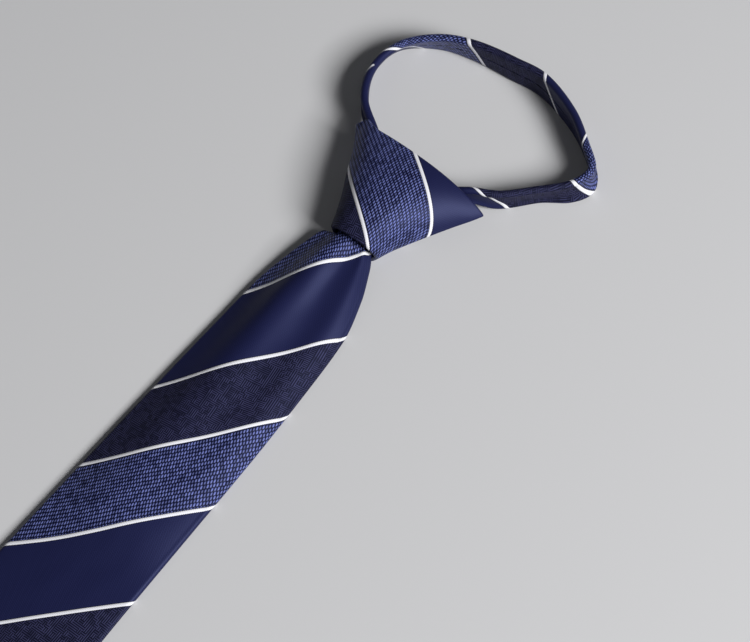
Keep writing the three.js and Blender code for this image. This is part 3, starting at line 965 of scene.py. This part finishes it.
# %% Repeating a part along a path
def repeat_along(name, path, sizes, make_part, material):
    """A plain mesh of one part set again and again along a path, each second one turned over.

    sizes are the tree's named inputs in metres, and Pitch is one of them. make_part draws the part with
    the tree's nodes and returns its geometry.
    """
    tree = bpy.data.node_groups.new(name, "GeometryNodeTree")
    tree.interface.new_socket("Geometry", in_out="INPUT", socket_type="NodeSocketGeometry")
    tree.interface.new_socket("Geometry", in_out="OUTPUT", socket_type="NodeSocketGeometry")
    for size_name in sizes:
        tree.interface.new_socket(size_name, in_out="INPUT", socket_type="NodeSocketFloat")
    tree.interface.new_socket("Material", in_out="INPUT", socket_type="NodeSocketMaterial")
    start = tree.nodes.new("NodeGroupInput")
    link = tree.links.new

    curve = tree.nodes.new("GeometryNodeMeshToCurve")
    link(start.outputs["Geometry"], curve.inputs[0])
    resample = tree.nodes.new("GeometryNodeResampleCurve")
    resample.mode = "LENGTH"
    link(curve.outputs[0], resample.inputs["Curve"])
    link(start.outputs["Pitch"], resample.inputs["Length"])

    odd = tree.nodes.new("ShaderNodeMath")
    odd.operation = "FLOORED_MODULO"
    odd.inputs[1].default_value = 2
    link(tree.nodes.new("GeometryNodeInputIndex").outputs[0], odd.inputs[0])
    half_turn = tree.nodes.new("ShaderNodeMath")
    half_turn.operation = "MULTIPLY"
    half_turn.inputs[1].default_value = math.pi
    link(odd.outputs[0], half_turn.inputs[0])
    turn = tree.nodes.new("ShaderNodeCombineXYZ")
    link(half_turn.outputs[0], turn.inputs["Y"])
    along = tree.nodes.new("FunctionNodeAlignRotationToVector")
    along.axis = "Y"
    link(tree.nodes.new("GeometryNodeInputTangent").outputs[0], along.inputs["Vector"])
    rotate = tree.nodes.new("FunctionNodeRotateRotation")
    rotate.rotation_space = "LOCAL"
    link(along.outputs[0], rotate.inputs[0])
    link(turn.outputs[0], rotate.inputs[1])

    place = tree.nodes.new("GeometryNodeInstanceOnPoints")
    link(resample.outputs[0], place.inputs["Points"])
    link(make_part(tree, start), place.inputs["Instance"])
    link(rotate.outputs[0], place.inputs["Rotation"])
    realize = tree.nodes.new("GeometryNodeRealizeInstances")
    link(place.outputs[0], realize.inputs[0])
    finish = tree.nodes.new("GeometryNodeSetMaterial")
    link(realize.outputs[0], finish.inputs["Geometry"])
    link(start.outputs["Material"], finish.inputs["Material"])
    end = tree.nodes.new("NodeGroupOutput")
    link(finish.outputs[0], end.inputs[0])

    line = bpy.data.meshes.new(name + "_path")
    line.from_pydata((np.array(path) * MM).tolist(), [(k, k + 1) for k in range(len(path) - 1)], [])
    piece = bpy.data.objects.new(name, line)
    bpy.context.scene.collection.objects.link(piece)
    modifier = piece.modifiers.new(name, "NODES")
    modifier.node_group = tree
    for socket in tree.interface.items_tree:
        if socket.in_out == "INPUT" and socket.name in sizes:
            modifier[socket.identifier] = sizes[socket.name] * MM
        elif socket.in_out == "INPUT" and socket.name == "Material":
            modifier[socket.identifier] = material
    depsgraph = bpy.context.evaluated_depsgraph_get()
    mesh = bpy.data.meshes.new_from_object(piece.evaluated_get(depsgraph), depsgraph=depsgraph)
    piece.modifiers.clear()
    piece.data = mesh
    mesh.materials.clear()
    mesh.materials.append(material)
    mesh.polygons.foreach_set("material_index", [0] * len(mesh.polygons))
    print(name, "has", len(mesh.polygons), "faces")
    return piece


# %% [markdown]
# ## Teeth of the zip
# A tooth is a flat bar that is clamped to its tape, with a round head in the middle of the zip. The heads
# of one side sit between those of the other, which is what holds the zip closed.

# %% Teeth of the zip
TOOTH_SIZES = {
    "Pitch": 0.8, "Tooth length": 2.6, "Tooth width": 0.55, "Tooth height": 2.2, "Head radius": 0.42,
}
TOOTH_FREE_TOP = 3
TOOTH_FREE_END = 5


def tooth(tree, start):
    """A flat bar from the middle of the zip out over one tape, with a round head in the middle."""
    link = tree.links.new
    size = tree.nodes.new("ShaderNodeCombineXYZ")
    bar = tree.nodes.new("GeometryNodeMeshCube")
    for axis, name in zip("XYZ", ("Tooth length", "Tooth width", "Tooth height")):
        link(start.outputs[name], size.inputs[axis])
    link(size.outputs[0], bar.inputs["Size"])
    out = tree.nodes.new("GeometryNodeTransform")
    out.inputs["Translation"].default_value = (TOOTH_SIZES["Tooth length"] / 2 * MM, 0, 0)
    link(bar.outputs[0], out.inputs["Geometry"])
    head = tree.nodes.new("GeometryNodeMeshCylinder")
    head.inputs["Vertices"].default_value = 12
    link(start.outputs["Head radius"], head.inputs["Radius"])
    link(start.outputs["Tooth height"], head.inputs["Depth"])
    both = tree.nodes.new("GeometryNodeJoinGeometry")
    link(out.outputs[0], both.inputs[0])
    link(head.outputs[0], both.inputs[0])
    return both.outputs[0]


def plain_material(name, colour, roughness):
    material = bpy.data.materials.new(name)
    material.use_nodes = True
    shader = material.node_tree.nodes["Principled BSDF"]
    shader.inputs["Base Color"].default_value = (*colour, 1)
    shader.inputs["Roughness"].default_value = roughness
    return material


teeth_path = [
    (0, y, zip_floor(y) + ZIP_THICKNESS / 2)
    for y in np.linspace(zip_top - TOOTH_FREE_TOP, zip_end + TOOTH_FREE_END, 60)
]
tooth_material = plain_material("zip teeth", (0.01, 0.012, 0.04), 0.35)
zip_teeth = repeat_along("zip_teeth", teeth_path, TOOTH_SIZES, tooth, tooth_material)

# %% [markdown]
# ## Seam stitches
# The two back flaps of the blade are held together by one loose thread, which lets the tie stretch. It
# zigzags between the flaps below the zip. The stitches are alike too, so the same tree sets them.

# %% Seam stitches
STITCH_SIZES = {"Pitch": 5.05, "Stitch length": 5.2, "Thread radius": 0.17}
STITCH_SLANT = math.radians(14)
THREAD_HEIGHT = 0.6
seam_start = zip_end - ZIP_RUN_OUT
seam_end = knot_mouth - blade_length + 1.4 * TIP_LENGTH


def stitch(tree, start):
    """A piece of thread that slants from one flap to the other."""
    thread = tree.nodes.new("GeometryNodeMeshCylinder")
    thread.inputs["Vertices"].default_value = 8
    tree.links.new(start.outputs["Thread radius"], thread.inputs["Radius"])
    tree.links.new(start.outputs["Stitch length"], thread.inputs["Depth"])
    lay = tree.nodes.new("GeometryNodeTransform")
    lay.inputs["Rotation"].default_value = (math.pi / 2, 0, STITCH_SLANT)
    tree.links.new(thread.outputs[0], lay.inputs["Geometry"])
    return lay.outputs[0]


seam_path = [(0, y, THREAD_HEIGHT) for y in np.linspace(seam_start, seam_end, 40)]
thread_material = plain_material("seam thread", (0.02, 0.023, 0.08), 0.5)
seam_stitches = repeat_along("seam_stitches", seam_path, STITCH_SIZES, stitch, thread_material)

# %% [markdown]
# ## Floor, light and world
# A pale floor and soft light show dark cloth best. One large lamp low on the right rakes across the threads
# and the folds. A weak second lamp and a faint sky keep the shadows from going black.

# %% Floor and light
floor_mesh = bpy.data.meshes.new("floor")
floor_mesh.from_pydata([(-4, -4, 0), (4, -4, 0), (4, 4, 0), (-4, 4, 0)], [], [(0, 1, 2, 3)])
floor = bpy.data.objects.new("floor", floor_mesh)
bpy.context.scene.collection.objects.link(floor)
floor_material = bpy.data.materials.new("floor")
floor_material.use_nodes = True
floor_shader = floor_material.node_tree.nodes["Principled BSDF"]
floor_shader.inputs["Base Color"].default_value = (0.6, 0.6, 0.61, 1)
floor_shader.inputs["Roughness"].default_value = 0.9
floor_mesh.materials.append(floor_material)


def lamp(name, place, aim, size, watts):
    data = bpy.data.lights.new(name, "AREA")
    data.size = size
    data.energy = watts
    light = bpy.data.objects.new(name, data)
    light.location = place
    light.rotation_euler = (Vector(aim) - Vector(place)).to_track_quat("-Z", "Y").to_euler()
    bpy.context.scene.collection.objects.link(light)


lamp("key", (1.9, -0.02, 1.5), (0, -0.08, 0), 1, 80)
lamp("fill", (-0.6, -0.9, 1.1), (0, -0.1, 0), 1.2, 1)
world = bpy.data.worlds.new("world")
world.use_nodes = True
world.node_tree.nodes["Background"].inputs["Color"].default_value = (0.9, 0.93, 1, 1)
world.node_tree.nodes["Background"].inputs["Strength"].default_value = 0.05
bpy.context.scene.world = world
bpy.context.scene.view_settings.view_transform = "Standard"

# %% [markdown]
# ## Hand-over
# Each finished piece rides on the root body, and the measured solid that it stands for, where there is one,
# is hidden.

# %% Hand-over
for piece, node, finish in (
    (blade, "front_blade", "striped_cloth"),
    (seam_stitches, None, "striped_cloth"),
    (knot, "knot_wrap", "striped_cloth"),
    (neck_band, "neck_loop", "striped_cloth"),
    (zip_tapes, "zip_tail", "zip_cloth"),
    (zip_teeth, None, "zip_cloth"),
):
    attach(piece, "root")
    if node:
        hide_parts(node)
